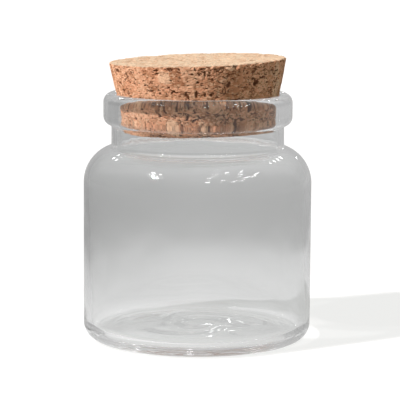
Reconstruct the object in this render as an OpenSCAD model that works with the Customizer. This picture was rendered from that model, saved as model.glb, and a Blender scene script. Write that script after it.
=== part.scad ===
// Round storage jar of clear glass with a tapered cork stopper.
// The jar's foot stands on z = 0, its axis is the z axis, and all sizes are in millimetres.

/* [Jar body] */
// Outside diameter of the straight wall
body_d = 60; // [52:0.5:80]
// Height from the foot to the corner where the shoulder meets the neck
body_h = 51; // [40:0.5:90]
// Thickness of the straight wall and of the shoulder
body_wall = 1.6; // [1.2:0.1:2.4]
// Radius of the rounded shoulder
shoulder_r = 9.9; // [8.5:0.1:13]
// Radius of the rounded edge round the foot
heel_r = 4.2; // [3:0.1:6]

/* [Foot] */
// Thickness of the glass floor
floor_t = 2.8; // [2:0.1:4.5]
// Width of the flat ring that the jar stands on
foot_ring_w = 3; // [2:0.1:5]
// Height that the floor is pushed up at its middle
push_up = 1.2; // [0.6:0.1:2]

/* [Neck and rim] */
// Outside diameter of the neck
neck_d = 45.4; // [43:0.1:47.5]
// Thickness of the neck wall
neck_wall = 1.45; // [1.2:0.05:2]
// Length of plain neck between the shoulder and the rim
neck_h = 5.5; // [3:0.1:12]
// How far the rolled rim stands out from the neck
rim_out = 2.15; // [1.8:0.05:4]
// Height of the rolled rim
rim_h = 8.5; // [6.5:0.1:12]
// Radius of the rim's outer edges, above and below
rim_round = 2.4; // [1:0.1:3]
// Radius of the mouth's inner edge, which the cork seats on
mouth_round = 1.2; // [0.6:0.1:2]
// Radius of the small outer hollows where the neck meets the shoulder and the rim
neck_blend = 0.6; // [0.3:0.1:1]

/* [Cork stopper] */
// Length of the cork along its own axis
cork_h = 18.6; // [16:0.1:26]
// Length of the cork that reaches into the mouth, below where it seats
cork_in = 8.7; // [6:0.1:13]
// Angle between the cork's side and its axis
cork_taper = 11.7; // [8:0.1:14]
// Radius of the worn edge round each end
cork_edge = 0.8; // [0.4:0.1:1.2]
// Clear space between the cork and the mouth's inner edge
cork_gap = 0.08; // [0.05:0.01:0.2]
// Angle that the seated cork leans towards -x
cork_lean = 2; // [0:0.1:3]

/* [Hidden] */

turn_steps = 144;
arc_step = 5;
dome_step = 0.6;

body_r = body_d / 2;
neck_r = neck_d / 2;
rim_r = neck_r + rim_out;
bore_r = neck_r - neck_wall;
rim_z = body_h + neck_h;
jar_h = rim_z + rim_h;

// Points along a round, from one angle to another
function arc(centre, radius, from, to, step = arc_step) =
    let (steps = ceil(abs(to - from) / step))
    [for (i = [0 : steps])
        let (angle = from + (to - from) * i / steps)
        centre + radius * [cos(angle), sin(angle)]];

// Direction from one point to another
function angle_to(start, end) = atan2(end.y - start.y, end.x - start.x);

// Centre of a small round that touches an upright wall at wall_x and a larger round.
// side is 1 where the wall rises from the larger round and -1 where it hangs below it.
function blend_centre(wall_x, blend, centre, radius, side) =
    let (x = wall_x + blend)
    [x, centre.y + side * sqrt(pow(radius + blend, 2) - pow(x - centre.x, 2))];

// The shoulder starts level with the top of the straight wall and would meet the neck at body_h
shoulder_x = body_r - shoulder_r;
shoulder_z = body_h - sqrt(pow(shoulder_r, 2) - pow(neck_r - shoulder_x, 2));
shoulder_mid = [shoulder_x, shoulder_z];
shoulder_in_r = shoulder_r - body_wall;
neck_out_mid = blend_centre(neck_r, neck_blend, shoulder_mid, shoulder_r, 1);

// Inside, the same corner is wider, so that the glass keeps its thickness round it
neck_in_blend = neck_blend + neck_wall;
neck_in_mid = blend_centre(bore_r, neck_in_blend, shoulder_mid, shoulder_in_r, 1);

// The heel turns the wall into the flat foot ring, and runs parallel inside above the floor
foot_r = body_r - heel_r;
heel_mid = [foot_r, heel_r];
heel_in_r = heel_r - body_wall;
heel_in_mid = [foot_r, floor_t + heel_in_r];

// Under and over the floor lie two shallow domes about one centre
dome_edge_r = foot_r - foot_ring_w;
dome_r = (pow(dome_edge_r, 2) + pow(push_up, 2)) / (2 * push_up);
dome_mid = [0, push_up - dome_r];
dome_in_r = dome_r + floor_t;
dome_angle = angle_to(dome_mid, [dome_edge_r, 0]);
dome_in_angle = asin((dome_r + floor_t - push_up) / dome_in_r);

// The rim is a flat band between two rounded edges
rim_x = rim_r - rim_round;
rim_low_mid = [rim_x, rim_z + rim_round];
rim_high_mid = [rim_x, jar_h - rim_round];
rim_blend_mid = blend_centre(neck_r, neck_blend, rim_low_mid, rim_round, -1);

// The mouth's edge takes no more than the rim's top leaves free
lip_r = min(mouth_round, rim_x - bore_r);
lip_mid = [bore_r + lip_r, jar_h - lip_r];

// The cork's side touches the mouth's edge, less the gap, and that sets how wide it is at each end
seat_r = lip_mid.x - (lip_r + cork_gap) / cos(cork_taper);
cork_bottom_r = seat_r - cork_in * tan(cork_taper);
cork_top_r = cork_bottom_r + cork_h * tan(cork_taper);

// The mouth cuts a leaning taper a little off its axis, and this brings the cut back to the middle
lean_shift = seat_r / tan(cork_taper) * sin(cork_lean)
           * (pow(cos(cork_lean), 2) / (pow(cos(cork_taper), 2) - pow(sin(cork_lean), 2)) - 1);

// The worn edges of the cork touch its ends and its sloping side
cork_edge_in = cork_edge / cos(cork_taper);
cork_edge_slope = cork_edge * tan(cork_taper);
cork_low_mid = [cork_bottom_r + cork_edge_slope - cork_edge_in, cork_edge];
cork_high_mid = [cork_top_r - cork_edge_slope - cork_edge_in, cork_h - cork_edge];

// Outside of the glass in half section, from the middle of the foot to the top of the rim
function outer_path() = concat(
    arc(dome_mid, dome_r, 90, dome_angle, dome_step),
    arc(heel_mid, heel_r, -90, 0),
    arc(shoulder_mid, shoulder_r, 0, angle_to(shoulder_mid, neck_out_mid)),
    arc(neck_out_mid, neck_blend, angle_to(neck_out_mid, shoulder_mid) + 360, 180),
    arc(rim_blend_mid, neck_blend, 180, angle_to(rim_blend_mid, rim_low_mid)),
    arc(rim_low_mid, rim_round, angle_to(rim_low_mid, rim_blend_mid), 0),
    arc(rim_high_mid, rim_round, 0, 90)
);

// Inside of the glass in half section, from the mouth down to the middle of the floor
function inner_path() = concat(
    arc(lip_mid, lip_r, 90, 180),
    arc(neck_in_mid, neck_in_blend, 180, angle_to(neck_in_mid, shoulder_mid) + 360),
    arc(shoulder_mid, shoulder_in_r, angle_to(shoulder_mid, neck_in_mid), 0),
    arc(heel_in_mid, heel_in_r, 0, -90),
    arc(dome_mid, dome_in_r, dome_in_angle, 90, dome_step)
);

// One-piece jar: floor, straight wall, shoulder, neck and rolled rim turned from one outline
module glass_jar() {
    color([0.80, 0.85, 0.86, 0.45])
        rotate_extrude($fn = turn_steps)
            polygon(concat(outer_path(), inner_path()));
}

// Cork on its own axis: a straight taper with the edge of each end worn round
module cork_blank() {
    rotate_extrude($fn = turn_steps)
        polygon(concat(
            [[0, 0]],
            arc(cork_low_mid, cork_edge, -90, -cork_taper),
            arc(cork_high_mid, cork_edge, -cork_taper, 90),
            [[0, cork_h]]
        ));
}

// Cork seated in the mouth, leaning a little
module cork_stopper() {
    color([0.80, 0.58, 0.42])
        translate([lean_shift, 0, lip_mid.y])
            rotate([0, -cork_lean, 0])
                translate([0, 0, -cork_in])
                    cork_blank();
}

glass_jar();
cork_stopper();
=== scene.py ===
import itertools
import math
import bpy
import numpy as np
from mathutils import Matrix, Vector


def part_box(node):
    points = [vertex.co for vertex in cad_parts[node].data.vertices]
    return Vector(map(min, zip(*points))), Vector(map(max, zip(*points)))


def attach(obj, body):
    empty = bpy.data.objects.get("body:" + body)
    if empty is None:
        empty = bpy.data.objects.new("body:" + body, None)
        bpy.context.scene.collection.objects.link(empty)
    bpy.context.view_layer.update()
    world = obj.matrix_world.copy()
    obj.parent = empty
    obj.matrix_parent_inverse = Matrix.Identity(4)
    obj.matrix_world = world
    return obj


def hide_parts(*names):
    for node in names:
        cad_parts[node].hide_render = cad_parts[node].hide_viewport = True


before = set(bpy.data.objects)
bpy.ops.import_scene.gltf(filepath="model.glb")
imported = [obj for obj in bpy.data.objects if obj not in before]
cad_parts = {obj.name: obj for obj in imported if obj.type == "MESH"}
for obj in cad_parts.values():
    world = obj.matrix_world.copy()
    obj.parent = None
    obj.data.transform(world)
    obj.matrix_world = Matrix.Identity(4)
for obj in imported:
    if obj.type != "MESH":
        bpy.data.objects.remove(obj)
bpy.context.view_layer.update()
mm = 0.001


# Helpers for the shapes

# Points along a round of the given radius about (x, z), from one angle to another in degrees
def arcPoints(x, z, radius, start, end, count):
    angle = np.radians(np.linspace(start, end, count))
    return np.stack([x + radius * np.cos(angle), z + radius * np.sin(angle)], axis=1)


# Points of a path where a measure that grows along it has the given values
def pathAt(path, measure, values):
    return np.stack([np.interp(values, measure, path[:, 0]), np.interp(values, measure, path[:, 1])], axis=1)


# A path laid out again so that its points are evenly spaced along its length
def evenPath(path, count):
    step = np.hypot(*np.diff(path, axis=0).T)
    path = path[np.r_[True, step > 1e-6]]
    length = np.r_[0, np.cumsum(np.hypot(*np.diff(path, axis=0).T))]
    return pathAt(path, length, np.linspace(0, length[-1], count))


# Unit vectors square to the path, on its right-hand side as it runs, and upright at its two poles
def pathNormals(path):
    along = np.gradient(path, axis=0)
    along /= np.maximum(np.hypot(along[:, 0], along[:, 1]), 1e-12)[:, None]
    normal = np.stack([along[:, 1], -along[:, 0]], axis=1)
    normal[0], normal[-1] = (0, -1), (0, 1)
    return normal


# A flat profile turned round the z axis: one row for each of its points, one column for each angle
def spun(profile, turns):
    turn = np.linspace(0, 2 * np.pi, turns, endpoint=False)
    ring, rise = profile[:, 0][:, None], profile[:, 1][:, None]
    return np.stack([ring * np.cos(turn), ring * np.sin(turn), rise + 0 * turn], axis=-1)


# Closed surface from a grid of points (rows run pole to pole, columns run round the axis)
# The first and last rows shrink to one point each, so both poles are closed by a fan
def closedMesh(name, grid):
    rows, columns = grid.shape[:2]
    inner = grid[1:-1].reshape(-1, 3)
    points = np.vstack([grid[0].mean(0)[None], inner, grid[-1].mean(0)[None]])
    column = np.arange(columns)
    after = (column + 1) % columns
    start = 1 + np.arange(rows - 3)[:, None] * columns
    end = start + columns
    quads = np.stack([start + column, start + after, end + after, end + column], axis=-1)
    lastRow = 1 + (rows - 3) * columns
    startFan = np.stack([np.zeros_like(column), 1 + after, 1 + column], axis=-1)
    endFan = np.stack([np.full_like(column, len(points) - 1), lastRow + column, lastRow + after], axis=-1)
    mesh = bpy.data.meshes.new(name)
    faces = quads.reshape(-1, 4).tolist() + startFan.tolist() + endFan.tolist()
    mesh.from_pydata(points.tolist(), [], faces)
    mesh.polygons.foreach_set("use_smooth", np.ones(len(mesh.polygons), dtype=bool))
    mesh.update()
    piece = bpy.data.objects.new(name, mesh)
    bpy.context.scene.collection.objects.link(piece)
    return piece


# One number for each point of the grid, kept on the mesh, with the poles at their row's mean
def addAttribute(piece, name, grid):
    values = np.concatenate([[grid[0].mean()], grid[1:-1].ravel(), [grid[-1].mean()]])
    attribute = piece.data.attributes.new(name, "FLOAT", "POINT")
    attribute.data.foreach_set("value", values.astype(np.float32))


# 0 below the first edge, 1 above the second, and an S-curve between
def fade(value, low, high):
    part = np.clip((value - low) / (high - low), 0, 1)
    return part * part * (3 - 2 * part)


# Repeatable random numbers from 0 to 1, one for each whole-number cell, by mixing the bits of its place
def cellRandom(cell, salt):
    mixed = (cell[..., 0] * 73856093) ^ (cell[..., 1] * 19349663) ^ (cell[..., 2] * 83492791) ^ (salt * 40503)
    mixed = mixed & 0xFFFFFFFF
    for turn in range(2):
        mixed = ((mixed ^ (mixed >> 16)) * 0x45D9F3B) & 0xFFFFFFFF
    return ((mixed ^ (mixed >> 16)) & 0xFFFFFF) / 0xFFFFFF


# Smooth noise from -1 to 1: the random numbers at a cell's eight corners, blended by an S-curve
def smoothNoise(points, salt):
    cell = np.floor(points).astype(np.int64)
    blend = points - cell
    blend = blend * blend * (3 - 2 * blend)
    total = np.zeros(points.shape[:-1])
    for corner in itertools.product((0, 1), repeat=3):
        weight = np.where(corner, blend, 1 - blend).prod(axis=-1)
        total += weight * cellRandom(cell + np.array(corner), salt)
    return total * 2 - 1


# Smooth noise of two sizes, the second at half strength
def twoNoises(points, sizes, salt):
    return smoothNoise(points / sizes[0], salt) + 0.5 * smoothNoise(points / sizes[1], salt + 1)


# Grains: one jittered centre in each cell, where a random lead in distance makes some grains larger
# Gives the distance to the border with the next grain, the grain's random tone, and the distance to its centre
def grainField(points, size, salt):
    scaled = points / size
    cell = np.floor(scaled).astype(np.int64)
    nearest = np.full(points.shape[:-1], 9.0)
    second = nearest.copy()
    tone = np.zeros(points.shape[:-1])
    for offset in itertools.product((-1, 0, 1), repeat=3):
        other = cell + np.array(offset)
        jitter = np.stack([cellRandom(other, salt + axis) for axis in range(3)], axis=-1)
        away = np.linalg.norm(scaled - other - 0.1 - 0.8 * jitter, axis=-1) - 0.3 * cellRandom(other, salt + 3)
        closer = away < nearest
        second = np.where(closer, nearest, np.minimum(second, away))
        tone = np.where(closer, cellRandom(other, salt + 4), tone)
        nearest = np.where(closer, away, nearest)
    return (second - nearest) * size, tone, nearest * size


# Helpers for the materials

def newMaterial(name):
    material = bpy.data.materials.new(name)
    material.use_nodes = True
    material.node_tree.nodes.clear()
    return material, material.node_tree


# Fills a node's inputs: a socket or another node's first output in use is linked, anything else is the value
def fill(tree, node, inputs):
    for place, value in inputs.items():
        target = node.inputs[place]
        if isinstance(value, bpy.types.Node):
            value = [socket for socket in value.outputs if socket.enabled][0]
        if isinstance(value, bpy.types.NodeSocket):
            tree.links.new(value, target)
        elif target.type == "RGBA":
            target.default_value = (*value, 1)
        else:
            target.default_value = value
    return node


def newNode(tree, kind, inputs=None):
    return fill(tree, tree.nodes.new("ShaderNode" + kind), inputs or {})


def mathNode(tree, operation, first, second):
    node = newNode(tree, "Math", {0: first, 1: second})
    node.operation = operation
    return node


def vectorNode(tree, operation, first, second=(0, 0, 0)):
    node = newNode(tree, "VectorMath", {0: first, 1: second})
    node.operation = operation
    return node


def mixNode(tree, factor, first, second):
    node = newNode(tree, "Mix")
    node.data_type = "RGBA"
    return fill(tree, node, {"Factor": factor, "A": first, "B": second})


def rangeNode(tree, value, low, high, start=0, end=1):
    ends = {"From Min": low, "From Max": high, "To Min": start, "To Max": end}
    return newNode(tree, "MapRange", {"Value": value, **ends})


# A colour for each place along the value
def rampNode(tree, value, stops):
    node = newNode(tree, "ValToRGB", {"Fac": value})
    elements = node.color_ramp.elements
    while len(elements) < len(stops):
        elements.new(0.5)
    for element, (place, colour) in zip(elements, stops):
        element.position = place
        element.color = (*colour, 1)
    return node


# Clear glass jar, in mm

jarShape = {
    "bodyRadius": 30.0,
    "bodyHeight": 51.0,         # foot to the corner under the neck
    "wall": 1.6,
    "shoulderRadius": 9.9,
    "heelRadius": 4.2,
    "floorThickness": 2.8,
    "footRing": 3.0,
    "pushUp": 1.2,
    "neckRadius": 22.7,
    "neckWall": 1.45,
    "neckHeight": 5.5,
    "rimRadius": 24.85,
    "rimHeight": 8.5,
    "rimRound": 2.4,
    "mouthRound": 1.2,
    "blend": 0.6,               # hollow under the neck and under the rim
    "innerBlend": 2.05,         # the same corner inside
    # The waves that blowing leaves: how far the glass wanders, and the sizes of the noise
    "wave": 0.09,               # inside of the wall
    "waveSizes": (13, 5),
    "waveRings": (3, 12),       # distance from the axis over which it begins
    "streak": 0.05,             # upright streaks inside the neck and rim
    "streakSizes": ((1.7, 1.7, 14), (3.5, 3.5, 9)),
    "neckHeights": (48.5, 51.5),    # waves below these, streaks above
    "swirl": 0.12,              # turned mark on the inside of the floor
    "swirlTurn": 0.62,          # radians that it winds in each mm outwards
    "swirlWander": 3,
    "swirlSize": 9,
    "swirlStart": (1, 6),
    "swirlEnd": (12, 24),
    "swirlHeight": 6,           # it lies below this
    "skin": 0.02,               # outside, which also takes half of the streaks in the rim
    "skinRings": (8, 20),
    "rimHeights": (52, 56),
    # Rows and columns of the mesh
    "finePoints": 6000,
    "outlinePoints": 252,
    "turns": 390,
    "closeRows": 2.6,           # how much closer rows stand where the outline turns tightly
    "closeAbove": 47,           # which is above this height
    "closeHeel": (7, 21),       # and below this one, further out than this
}


# Half section of the glass: out along the foot, up the outside, over the rim and down the inside
# Small rounds touch the wall and the larger round beside them. Each arc ends with its number of points
def jarSection(shape):
    bodyRadius, heel, wall = shape["bodyRadius"], shape["heelRadius"], shape["wall"]
    blend, innerBlend, rimRound = shape["blend"], shape["innerBlend"], shape["rimRound"]
    neckRadius, boreRadius = shape["neckRadius"], shape["neckRadius"] - shape["neckWall"]
    shoulder, thickness = shape["shoulderRadius"], shape["floorThickness"]
    rimBottom = shape["bodyHeight"] + shape["neckHeight"]
    top = rimBottom + shape["rimHeight"]
    shoulderX = bodyRadius - shoulder
    shoulderZ = shape["bodyHeight"] - math.sqrt(shoulder ** 2 - (neckRadius - shoulderX) ** 2)
    footX = bodyRadius - heel
    domeEdge = footX - shape["footRing"]
    domeRadius = (domeEdge ** 2 + shape["pushUp"] ** 2) / (2 * shape["pushUp"])
    domeZ = shape["pushUp"] - domeRadius
    domeInner = domeRadius + thickness
    rimX = shape["rimRadius"] - rimRound
    rimLow, rimHigh = rimBottom + rimRound, top - rimRound

    # Centre of a small round, and the direction in which it lies from the larger one about (x, z)
    def smallRound(wallX, x, z, radius, side, small):
        smallX = wallX + small
        smallZ = z + side * math.sqrt((radius + small) ** 2 - (smallX - x) ** 2)
        return smallX, smallZ, math.degrees(math.atan2(smallZ - z, smallX - x))

    neckX, neckZ, neckTurn = smallRound(neckRadius, shoulderX, shoulderZ, shoulder, 1, blend)
    underX, underZ, underTurn = smallRound(neckRadius, rimX, rimLow, rimRound, -1, blend)
    innerX, innerZ, innerTurn = smallRound(boreRadius, shoulderX, shoulderZ, shoulder - wall, 1, innerBlend)
    lip, lipX = shape["mouthRound"], boreRadius + shape["mouthRound"]
    domeStart = math.degrees(math.atan2(-domeZ, domeEdge))
    domeEnd = math.degrees(math.asin((thickness - domeZ) / domeInner))
    return np.vstack([
        arcPoints(0, domeZ, domeRadius, 90, domeStart, 40),
        arcPoints(footX, heel, heel, -90, 0, 40),
        arcPoints(shoulderX, shoulderZ, shoulder, 0, neckTurn, 60),
        arcPoints(neckX, neckZ, blend, neckTurn + 180, 180, 16),
        arcPoints(underX, underZ, blend, 180, underTurn + 180, 16),
        arcPoints(rimX, rimLow, rimRound, underTurn, 0, 30),
        arcPoints(rimX, rimHigh, rimRound, 0, 90, 30),
        arcPoints(lipX, top - lip, lip, 90, 180, 24),
        arcPoints(innerX, innerZ, innerBlend, 180, innerTurn + 180, 30),
        arcPoints(shoulderX, shoulderZ, shoulder - wall, innerTurn, 0, 60),
        arcPoints(footX, thickness + heel - wall, heel - wall, 0, -90, 30),
        arcPoints(0, domeZ, domeInner, domeEnd, 90, 40),
    ])


# How far the glass lies below its nominal surface
# A wave is smooth noise of two sizes, and a streak is noise drawn out along the height
# The swirl is the sine of the distance from the axis plus the turn, and fades out at both ends
def glassRelief(points, inside, shape):
    ring = np.hypot(points[..., 0], points[..., 1])
    height = points[..., 2]
    large, small = shape["waveSizes"]
    wave = 0.7 * smoothNoise(points / large, 81) + 0.3 * smoothNoise(points / small, 82)
    streak = twoNoises(points, shape["streakSizes"], 83)
    turned = np.arctan2(points[..., 1], points[..., 0])
    wander = shape["swirlWander"] * smoothNoise(points / shape["swirlSize"], 85)
    spiral = np.sin(ring * shape["swirlTurn"] + turned + wander)
    spiral = spiral * fade(ring, *shape["swirlStart"]) * (1 - fade(ring, *shape["swirlEnd"]))
    neck = fade(height, *shape["neckHeights"])
    wall = shape["wave"] * wave * (1 - neck) * fade(ring, *shape["waveRings"])
    bore = shape["streak"] * (1 + streak) * neck
    floor = shape["swirl"] * spiral * (height < shape["swirlHeight"])
    skin = shape["skin"] * (1 + wave) + 0.5 * bore * fade(height, *shape["rimHeights"])
    return np.where(inside, wall + bore + floor, skin * fade(ring, *shape["skinRings"]))


# Rows stand closer together where the outline turns tightly: at the neck, the rim and the heel
def makeJar(shape):
    path = evenPath(jarSection(shape), shape["finePoints"])
    heelTop, heelStart = shape["closeHeel"]
    tight = (path[:, 1] > shape["closeAbove"]) | ((path[:, 1] < heelTop) & (path[:, 0] > heelStart))
    length = np.cumsum(np.where(tight, shape["closeRows"], 1.0))
    section = pathAt(path, length, np.linspace(length[0], length[-1], shape["outlinePoints"]))
    inside = np.arange(len(section))[:, None] > section[:, 1].argmax()
    nominal = spun(section, shape["turns"])
    depth = glassRelief(nominal, inside, shape)[..., None]
    return closedMesh("glassJar", (nominal - spun(pathNormals(section), shape["turns"]) * depth) * mm)


glassLook = {
    "colour": (0.99, 0.994, 0.992),
    "ior": 1.5,
    "softColour": (0.97, 0.975, 0.975),     # of light from matt surfaces
    "slantBlend": 0.30,
    "slantColour": (0.30, 0.31, 0.31),      # of lamplight at a slant
    "lipHeights": (0.0617, 0.0620),         # metres, where the rim's top round begins to dim it
    "lipRadii": (0.0232, 0.0226),
    "lipColour": (0.2, 0.2, 0.2),
}


def glassMaterial(look):
    material, tree = newMaterial("clearGlass")
    glass = newNode(tree, "BsdfPrincipled", {
        "Base Color": look["colour"], "Transmission Weight": 1, "Roughness": 0, "IOR": look["ior"],
    })

    # Lamplight and light from matt surfaces pass straight through, lamplight weaker at a slant
    # What enters the rim's top round is bent down the wall, so the bore near the lip lets little out
    slant = newNode(tree, "LayerWeight", {"Blend": look["slantBlend"]})
    clear = mixNode(tree, slant.outputs["Fresnel"], (1, 1, 1), look["slantColour"])
    coordinates = newNode(tree, "TexCoord")
    place = newNode(tree, "SeparateXYZ", {"Vector": coordinates.outputs["Object"]})
    flat = newNode(tree, "CombineXYZ", {"X": place.outputs["X"], "Y": place.outputs["Y"]})
    nearTop = rangeNode(tree, place.outputs["Z"], *look["lipHeights"])
    nearBore = rangeNode(tree, vectorNode(tree, "LENGTH", flat), *look["lipRadii"])
    lip = mathNode(tree, "MULTIPLY", nearTop, nearBore)
    through = newNode(tree, "BsdfTransparent", {"Color": mixNode(tree, lip, clear, look["lipColour"])})
    soft = newNode(tree, "BsdfTransparent", {"Color": look["softColour"]})
    path = newNode(tree, "LightPath")
    lampShader = newNode(tree, "MixShader", {"Fac": path.outputs["Is Shadow Ray"], 1: glass, 2: through})
    shader = newNode(tree, "MixShader", {"Fac": path.outputs["Is Diffuse Ray"], 1: lampShader, 2: soft})
    newNode(tree, "OutputMaterial", {"Surface": shader})
    return material


jar = makeJar(jarShape)
jar.data.materials.append(glassMaterial(glassLook))
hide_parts("glass_jar")
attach(jar, "jar")
print("glass jar made")


# Cork stopper, in mm

corkShape = {
    "topRadius": 23.19,
    "bottomRadius": 19.34,
    "height": 18.6,
    "edge": 0.4,
    "lean": 2.0,                # degrees, towards -x
    "rows": (9, 128, 28),       # bottom face, side and top face
    "turns": 600,
    "proud": 0.12,              # the part above the mouth swells by this much
    "proudHeights": (10.0, 12.5),
    # Grains and the seams between them
    "grain": 3.6,               # size of the large grains
    "fineGrain": 1.5,
    "crumbled": 0.45,           # share of the large grains that is broken into fine ones
    "bend": 0.55,               # how far noise of these sizes bends the borders
    "bendSizes": (1.9, 0.6),
    "seam": (0.055, 0.15),      # least width of a seam, and what the open patches add
    "patchSizes": (2.3, 0.7),
    "patchEdges": (-0.25, 0.8),     # values of that noise where a patch begins and where it is whole
    "crackDepth": 0.2,
    "crackWidths": (0.04, 0.16),    # seams narrower than the first have no depth, wide ones all of it
    "grainStep": 0.09,          # how far grains stand in or out
    "ripple": 0.07,
    "rippleSize": 0.5,
    # Torn-out specks: turn in radians, size, share of the cells that has one, and salt
    "pitDepth": 0.26,
    "specks": [(0.4, 1.1, 0.55, 51), (-0.9, 1.6, 0.5, 56), (1.8, 2.8, 0.45, 61)],
    "speckStretch": (0.5, 1.0, 2.1),
    "speckReach": (0.09, 0.17),     # least reach from its middle, and what the largest add
    "fullCell": 1.5,                # specks in larger cells have less of that reach
    # Wear of the upper edge: crumbs all round, and chips
    "edgeWear": 0.3,
    "crumbSizes": (1.1, 0.5),
    "crumbEdges": (-0.2, 1.0),
    "wearReach": (0.2, 1.3),        # distance from the edge over which the crumbs end
    "chipSize": 0.8,                # of the noise that makes a chip's outline uneven
    "chipInset": 0.1,
    "chipCore": 0.35,               # share of a chip's width that has its full depth
    "wornShare": 0.75,              # how far worn places look torn, and the depths for that
    "wornDepths": (0.12, 0.6),
    # The sawn top face is calmer
    "faceHeights": (0.35, 0.05),    # side ends and face begins this far below the top
    "faceCalm": 0.45,
    "faceSpecks": 0.5,
}

# Broken places along the upper edge: degrees to the right of the camera's side, width and depth
corkChips = [(19, 1.0, 0.4), (25, 1.3, 0.6), (30, 0.8, 0.5), (35.5, 1.1, 0.6), (41, 0.8, 0.4), (8, 0.8, 0.3),
             (-3, 0.7, 0.3), (-16, 0.8, 0.3), (-44, 0.9, 0.3), (-72, 1.0, 0.35), (58, 1.0, 0.5), (66, 0.9, 0.4),
             (108, 2.0, 0.7), (128, 1.4, 0.5), (171, 2.2, 0.7), (-118, 1.5, 0.6), (-149, 2.3, 0.5)]


# Half section in three parts: lower face, side with both rounded edges, upper face
def corkSection(shape):
    taper = math.atan((shape["topRadius"] - shape["bottomRadius"]) / shape["height"])
    edge, height = shape["edge"], shape["height"]
    edgeIn, slope = edge / math.cos(taper), edge * math.tan(taper)
    degrees = math.degrees(taper)
    lowRound = arcPoints(shape["bottomRadius"] + slope - edgeIn, edge, edge, -90, -degrees, 12)
    highRound = arcPoints(shape["topRadius"] - slope - edgeIn, height - edge, edge, -degrees, 90, 12)
    lowRows, sideRows, highRows = shape["rows"]
    low = evenPath(np.vstack([[[0, 0]], lowRound[:1]]), lowRows)[:-1]
    side = evenPath(np.vstack([lowRound, highRound]), sideRows)
    high = evenPath(np.vstack([highRound[-1:], [[0, height]]]), highRows)[1:]
    return np.vstack([low, side, high])


# Specks: the spaces round scattered centres, after the points are turned and drawn out
# A cell has one where its random tone is below the share, and its reach grows with the cube of tone over share
def speckField(points, shape, turn, size, share, salt):
    spin = np.array([[math.cos(turn), math.sin(turn), 0], [-math.sin(turn), math.cos(turn), 0], [0, 0, 1]])
    tip = np.array([[1, 0, 0], [0, math.cos(turn), math.sin(turn)], [0, -math.sin(turn), math.cos(turn)]])
    _, tone, away = grainField((points @ spin @ tip) * shape["speckStretch"], size, salt)
    least, more = shape["speckReach"]
    reach = least + more * (tone / share) ** 3
    reach *= min(1, shape["fullCell"] / size)
    return (1 - fade(away, 0.3 * reach, reach)) * (tone < share)


# How far each point of the cork lies below its nominal surface, and the numbers that its material reads
def corkRelief(points, shape):
    large, small = shape["bendSizes"]
    wander = np.stack([smoothNoise(points / large, salt) for salt in (11, 12, 13)], axis=-1)
    wander += 0.5 * np.stack([smoothNoise(points / small, salt) for salt in (14, 15, 16)], axis=-1)
    bent = points + shape["bend"] * wander
    border, tone, _ = grainField(bent, shape["grain"], 21)
    fineBorder, fineTone, _ = grainField(bent, shape["fineGrain"], 31)
    broken = tone % 0.1 < 0.1 * shape["crumbled"]
    border = np.where(broken, np.minimum(border, fineBorder), border)
    tone = np.where(broken, 0.3 * tone + 0.7 * fineTone, tone)
    least, more = shape["seam"]
    opening = least + more * fade(twoNoises(points, shape["patchSizes"], 41), *shape["patchEdges"])
    crack = 1 - fade(border, 0.3 * opening, opening)
    specks = np.zeros_like(tone)
    for turn, size, share, salt in shape["specks"]:
        specks = np.maximum(specks, speckField(bent, shape, turn, size, share, salt))
    ripple = 0.5 + 0.5 * smoothNoise(points / shape["rippleSize"], 66)
    depth = shape["crackDepth"] * crack * fade(opening, *shape["crackWidths"]) + shape["pitDepth"] * specks
    depth += shape["grainStep"] * (1 - tone) + shape["ripple"] * ripple
    return depth, tone, specks, border, opening


# Wear of the upper edge: the larger broken places, and a crumbled line all round
def edgeDepth(points, shape, chips):
    depth = np.zeros(points.shape[:-1])
    uneven = 1 + 0.5 * smoothNoise(points / shape["chipSize"], 71)
    edgeRadius = shape["topRadius"] - shape["chipInset"]
    for bearing, width, deep in chips:
        angle = math.radians(bearing)
        centre = np.array([math.sin(angle), -math.cos(angle), 0]) * edgeRadius
        centre[2] = shape["height"]
        away = np.linalg.norm(points - centre, axis=-1) / (width * uneven)
        depth = np.maximum(depth, deep * (1 - fade(away, shape["chipCore"], 1)))
    ring = np.hypot(points[..., 0], points[..., 1])
    fromEdge = np.hypot(ring - shape["topRadius"], points[..., 2] - shape["height"])
    crumbs = fade(twoNoises(points, shape["crumbSizes"], 72), *shape["crumbEdges"])
    return depth, shape["edgeWear"] * crumbs * (1 - fade(fromEdge, *shape["wearReach"]))


# The cork stands where its CAD node does: the nominal form's box is laid on the node's
def makeCork(shape):
    low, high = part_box("cork_stopper")
    section = corkSection(shape)
    nominal = spun(section, shape["turns"])
    depth, tone, specks, border, opening = corkRelief(nominal, shape)
    chips, wear = edgeDepth(nominal, shape, corkChips)
    faceStart, faceWhole = shape["faceHeights"]
    onFace = fade(nominal[..., 2], shape["height"] - faceStart, shape["height"] - faceWhole)
    aboveMouth = fade(nominal[..., 2], *shape["proudHeights"]) * (1 - onFace)
    depth = (depth + chips + wear) * (1 - shape["faceCalm"] * onFace) - shape["proud"] * aboveMouth
    shaped = nominal - spun(pathNormals(section), shape["turns"]) * depth[..., None]
    lean = math.radians(shape["lean"])

    def leaned(grid):
        tilted = [
            grid[..., 0] * math.cos(lean) - grid[..., 2] * math.sin(lean),
            grid[..., 1],
            grid[..., 0] * math.sin(lean) + grid[..., 2] * math.cos(lean),
        ]
        return np.stack(tilted, axis=-1) * mm

    upright = leaned(nominal).reshape(-1, 3)
    spot = np.array((low + high) / 2) - (upright.min(0) + upright.max(0)) / 2
    cork = closedMesh("corkStopper", leaned(shaped) + spot)
    worn = shape["wornShare"] * fade(chips + wear, *shape["wornDepths"])
    specks = np.maximum(specks * (1 - shape["faceSpecks"] * onFace), worn)
    values = {"tone": tone, "specks": specks, "border": border, "opening": opening, "sawnFace": onFace}
    for name, grid in values.items():
        addAttribute(cork, name, grid)
    return cork


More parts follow.
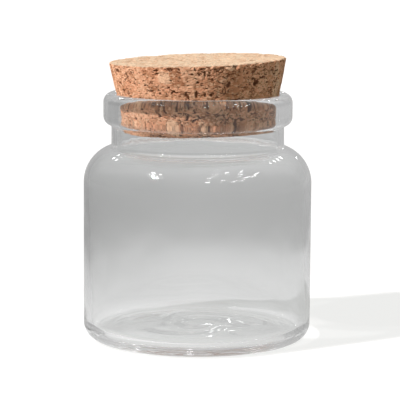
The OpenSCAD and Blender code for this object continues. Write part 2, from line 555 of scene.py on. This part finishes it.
corkLook = {
    "markStretch": (1, 1, 1.7),     # marks are longer across the cork than up it
    # Colours of the grains, by tone
    "grains": [(0.0, (0.47, 0.215, 0.11)), (0.12, (0.68, 0.33, 0.185)), (0.32, (0.81, 0.42, 0.25)),
               (0.62, (0.87, 0.48, 0.295)), (0.86, (0.92, 0.555, 0.36)), (1.0, (0.97, 0.69, 0.48))],
    # The sawn top face: partly its own paler tone, partly painted sheen and top light that make it paler and
    # yellower
    "sawnToneAndSheen": (0.64, 0.55, 0.412),
    "sawnToneAndSheenShare": 0.85,
    # Marks: the noise's scale and detail, the two values between which they fade in, their share, and colour
    "mottle": (560, 5, 0.46, 0.64, 0.66, (0.48, 0.21, 0.10)),
    "dust": (1300, 3, 0.52, 0.62, 0.70, (0.97, 0.67, 0.45)),
    "dots": (1350, 3, 0.54, 0.61, 0.95, (0.24, 0.08, 0.03)),
    # Dots gather in patches, and fewer lie on the sawn face
    "patches": (230, 3, 0.42, 0.60),
    "dotsBetween": 0.2,
    "dotsOnFace": 0.4,
    "seamEdges": (0.25, 1.0),       # of the border's distance as a share of the opening
    "seamWidths": (0.05, 0.2),
    "seamColours": ((0.40, 0.17, 0.085), (0.17, 0.06, 0.025)),      # narrow and wide
    "tornEdges": (0.12, 0.9),
    "tornShare": 0.92,
    "torn": (0.155, 0.052, 0.02),
    "roughness": 0.8,
    "specular": 0.12,
    "bumpNoise": (1700, 4),
    "bumpStrength": 0.8,
    "bumpDistance": 0.00036,
}


def corkMaterial(look):
    material, tree = newMaterial("agglomeratedCork")
    coordinates = newNode(tree, "TexCoord")
    place = {"Vector": coordinates.outputs["Object"], "Scale": look["markStretch"]}
    stretched = newNode(tree, "Mapping", place)

    def read(name):
        node = newNode(tree, "Attribute")
        node.attribute_name = name
        return node.outputs["Fac"]

    def noise(scale, detail):
        return newNode(tree, "TexNoise", {"Scale": scale, "Detail": detail, "Vector": stretched})

    def marks(scale, detail, low, high, share, colour):
        return rangeNode(tree, noise(scale, detail), low, high, 0, share), colour

    # From the grains' own colour outwards: sawn face (its own paler tone plus painted sheen), marks, seams and
    # torn places each cover what is below
    onFace = read("sawnFace")
    colour = rampNode(tree, read("tone"), look["grains"])
    # Painted sheen and top light: the sawn top face is made paler and yellower, on top of its own paler tone
    colour = mixNode(tree, rangeNode(tree, onFace, 0, 1, 0, look["sawnToneAndSheenShare"]), colour, look["sawnToneAndSheen"])
    for name in ("mottle", "dust"):
        share, tint = marks(*look[name])
        colour = mixNode(tree, share, colour, tint)

    scale, detail, low, high = look["patches"]
    patches = rangeNode(tree, noise(scale, detail), low, high, look["dotsBetween"], 1)
    calm = rangeNode(tree, onFace, 0, 1, 1, look["dotsOnFace"])
    share, tint = marks(*look["dots"])
    share = mathNode(tree, "MULTIPLY", share, mathNode(tree, "MULTIPLY", patches, calm))
    colour = mixNode(tree, share, colour, tint)

    opening = read("opening")
    seam = rangeNode(tree, mathNode(tree, "DIVIDE", read("border"), opening), *look["seamEdges"], 1, 0)
    seamColour = mixNode(tree, rangeNode(tree, opening, *look["seamWidths"]), *look["seamColours"])
    colour = mixNode(tree, seam, colour, seamColour)
    torn = rangeNode(tree, read("specks"), *look["tornEdges"], 0, look["tornShare"])
    colour = mixNode(tree, torn, colour, look["torn"])

    bump = newNode(tree, "Bump", {
        "Strength": look["bumpStrength"], "Distance": look["bumpDistance"], "Height": noise(*look["bumpNoise"]),
    })
    shader = newNode(tree, "BsdfPrincipled", {
        "Base Color": colour, "Normal": bump, "Roughness": look["roughness"], "Diffuse Roughness": 1,
        "Specular IOR Level": look["specular"],
    })
    newNode(tree, "OutputMaterial", {"Surface": shader})
    return material


cork = makeCork(corkShape)
cork.data.materials.append(corkMaterial(corkLook))
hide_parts("cork_stopper")
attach(cork, "stopper")
print("cork stopper made")


# Floor and light, in metres and degrees

studio = {
    "floorSize": 8.0,
    "floorPlain": 0.42,             # how pale the floor is as a source of bounced light
    # White to the camera: the share that keeps no shadow, and the paint that takes one
    "cameraGlow": 0.80,
    "cameraPaint": 0.27,
    # The same two for what is seen through or in the glass, a little bluer, against the warm lamps
    "glassGlow": 0.74,
    "glassPaint": (0.251, 0.258, 0.271),
    # Grey of the floor through the glass, by the distance from a point at the jar's front
    "frontShift": 0.02,
    "throughGlass": [(0.0, 0.86), (0.035, 0.84), (0.06, 0.71), (0.105, 0.68), (0.15, 0.60), (0.17, 0.53),
                     (0.195, 0.46), (0.24, 0.42), (0.31, 0.44), (0.54, 0.505), (1.0, 0.505)],
    # The room is darker on the left: sideways share of the direction, and the factor on that grey
    "sideLevels": [(-1.0, 0.72), (-0.5, 0.76), (-0.12, 1.0), (0.12, 1.0), (0.5, 0.98), (1.0, 0.98)],
    "sideStart": (0.05, 0.16),      # on the floor, the distance over which that factor comes in
    # The room through the glass is paler overhead: height of the unit direction, and grey
    "roomLevels": [(0.0, 0.485), (0.3, 0.51), (0.6, 0.74), (0.85, 0.98), (1.0, 1.0)],
    "fill": (0.185, 0.20, 0.145),
    "keyPower": 4.3,
    "keyColour": (1.0, 0.95, 0.95),
    "keyAngle": 2.5,
    "keyFrom": (-57, 43),           # azimuth and elevation, as for the panes
    "aimHeight": 0.045,
    # Small bright panes of a window front, seen only as reflections
    "paneRadiance": 42.0,
    "paneDistance": 0.8,
    "paneSize": (0.07, 0.014),
    "panes": [(43, 71), (26, 56), (15, 45), (11, 35), (50, 60), (29, 38), (72, 57), (59, 48), (60, 40), (52, 35),
              (42, 35), (80, 44), (70, 40), (-62, 51), (-60, 46), (-53, 44), (-50, 40), (-50, 50)],
    "backPanes": [(150, 32), (137, 41), (158, 38), (-145, 33), (-157, 32), (-145, 66), (-161, 57)],
    "lowPanes": [(178, 12), (157, 14)],
    "glow": [(-56, 46)],            # one wide, weak pane round the key's reflection
    # For each of these groups, the share of the radiance and of the length of each side
    "paneGroups": {"panes": (1.0, 1.0), "backPanes": (0.4, 1.0), "lowPanes": (0.6, 0.4), "glow": (0.05, 3.5)},
}


# Camera rays, rays in the glass and all others each get their own value
def byRay(tree, cameraValue, glassValue, plainValue):
    path = newNode(tree, "LightPath")
    inGlass = mathNode(tree, "MAXIMUM", path.outputs["Is Glossy Ray"], path.outputs["Is Transmission Ray"])
    notCamera = mixNode(tree, inGlass, plainValue, glassValue)
    return mixNode(tree, path.outputs["Is Camera Ray"], notCamera, cameraValue)


# Grey levels at places along a value
def greyRamp(tree, value, levels):
    node = rampNode(tree, value, [(place, (grey, grey, grey)) for place, grey in levels])
    node.color_ramp.interpolation = "B_SPLINE"
    return node


# Factor by side: x over the horizontal length of the vector, read through a colour ramp
def sideFactor(tree, vector):
    unit = vectorNode(tree, "NORMALIZE", vectorNode(tree, "MULTIPLY", vector, (1, 1, 0)))
    sideways = newNode(tree, "SeparateXYZ", {"Vector": unit}).outputs["X"]
    levels = [((side + 1) / 2, factor) for side, factor in studio["sideLevels"]]
    return greyRamp(tree, rangeNode(tree, sideways, -1, 1), levels)


# White to the camera and grey through glass, mostly by its own glow, with a painted share that takes shadows
def floorMaterial():
    material, tree = newMaterial("studioFloor")
    place = newNode(tree, "TexCoord").outputs["Object"]
    distance = vectorNode(tree, "LENGTH", vectorNode(tree, "ADD", place, (0, studio["frontShift"], 0)))
    grey = greyRamp(tree, distance, studio["throughGlass"])
    sideShare = rangeNode(tree, distance, *studio["sideStart"])
    grey = vectorNode(tree, "MULTIPLY", grey, mixNode(tree, sideShare, (1, 1, 1), sideFactor(tree, place)))
    glassPaint = vectorNode(tree, "MULTIPLY", grey, studio["glassPaint"])
    glassGlow = vectorNode(tree, "MULTIPLY", grey, [studio["glassGlow"]] * 3)
    shader = newNode(tree, "BsdfPrincipled", {
        "Base Color": byRay(tree, [studio["cameraPaint"]] * 3, glassPaint, [studio["floorPlain"]] * 3),
        "Emission Color": byRay(tree, [studio["cameraGlow"]] * 3, glassGlow, (0, 0, 0)),
        "Emission Strength": 1, "Roughness": 1, "Specular IOR Level": 0,
    })
    newNode(tree, "OutputMaterial", {"Surface": shader})
    return material


def makeFloor():
    half = studio["floorSize"] / 2
    corners = [(-half, -half, 0), (half, -half, 0), (half, half, 0), (-half, half, 0)]
    mesh = bpy.data.meshes.new("studioFloor")
    mesh.from_pydata(corners, [], [(0, 1, 2, 3)])
    floor = bpy.data.objects.new("studioFloor", mesh)
    bpy.context.scene.collection.objects.link(floor)
    floor.data.materials.append(floorMaterial())


def makeWorld():
    world = bpy.data.worlds.new("studioWorld")
    bpy.context.scene.world = world
    world.use_nodes = True
    tree = world.node_tree
    tree.nodes.clear()
    direction = newNode(tree, "TexCoord").outputs["Generated"]
    height = newNode(tree, "SeparateXYZ", {"Vector": direction}).outputs["Z"]
    overhead = greyRamp(tree, height, studio["roomLevels"])
    room = vectorNode(tree, "MULTIPLY", overhead, sideFactor(tree, direction))
    background = newNode(tree, "Background", {"Color": byRay(tree, (1, 1, 1), room, studio["fill"])})
    newNode(tree, "OutputWorld", {"Surface": background})


# Direction from the jar towards a lamp: azimuth is to the right of the camera's side, both in degrees
def towards(azimuth, elevation):
    a, e = math.radians(azimuth), math.radians(elevation)
    return Vector((math.sin(a) * math.cos(e), -math.cos(a) * math.cos(e), math.sin(e)))


def addLamp(name, kind, azimuth, elevation, distance, colour):
    lamp = bpy.data.lights.new(name, kind)
    lamp.color = colour
    holder = bpy.data.objects.new(name, lamp)
    bpy.context.scene.collection.objects.link(holder)
    spot = towards(azimuth, elevation)
    holder.location = spot * distance + Vector((0, 0, studio["aimHeight"]))
    holder.rotation_euler = spot.to_track_quat("Z", "Y").to_euler()
    return holder


# A pane's power is its radiance times pi times its area
def makeLamps():
    key = addLamp("keyLight", "SUN", *studio["keyFrom"], 1.0, studio["keyColour"]).data
    key.energy = studio["keyPower"]
    key.angle = math.radians(studio["keyAngle"])
    for group, (share, part) in studio["paneGroups"].items():
        for azimuth, elevation in studio[group]:
            name = f"pane{azimuth}x{elevation}"
            holder = addLamp(name, "AREA", azimuth, elevation, studio["paneDistance"], (1, 1, 1))
            holder.visible_diffuse = False
            pane = holder.data
            pane.shape = "RECTANGLE"
            pane.size, pane.size_y = [side * part for side in studio["paneSize"]]
            pane.energy = studio["paneRadiance"] * share * math.pi * pane.size * pane.size_y


makeFloor()
makeWorld()
makeLamps()
print("floor and lamps made")


# Camera, fitted to the photograph's outline

cameraSet = {
    "spot": (0.00068, -0.5400, 0.11380),
    "down": 8.143,          # degrees below level
    "roll": 0.340,          # degrees, about the line of sight
    "lens": 186.00,
    "sensor": 36,
    "clip": (0.01, 100),
}


def makeCamera():
    data = bpy.data.cameras.new("camera")
    data.lens = cameraSet["lens"]
    data.sensor_width = cameraSet["sensor"]
    data.clip_start, data.clip_end = cameraSet["clip"]
    camera = bpy.data.objects.new("camera", data)
    bpy.context.scene.collection.objects.link(camera)
    camera.location = cameraSet["spot"]
    tilt = Matrix.Rotation(math.radians(90 - cameraSet["down"]), 3, "X")
    roll = Matrix.Rotation(math.radians(cameraSet["roll"]), 3, "Z")
    camera.rotation_euler = (tilt @ roll).to_euler()
    bpy.context.scene.camera = camera


makeCamera()
bpy.context.scene.view_settings.view_transform = "Standard"

# Light runs a long way inside the glass of the neck and heel
cycles = bpy.context.scene.cycles
cycles.max_bounces = cycles.transmission_bounces = cycles.glossy_bounces = 256
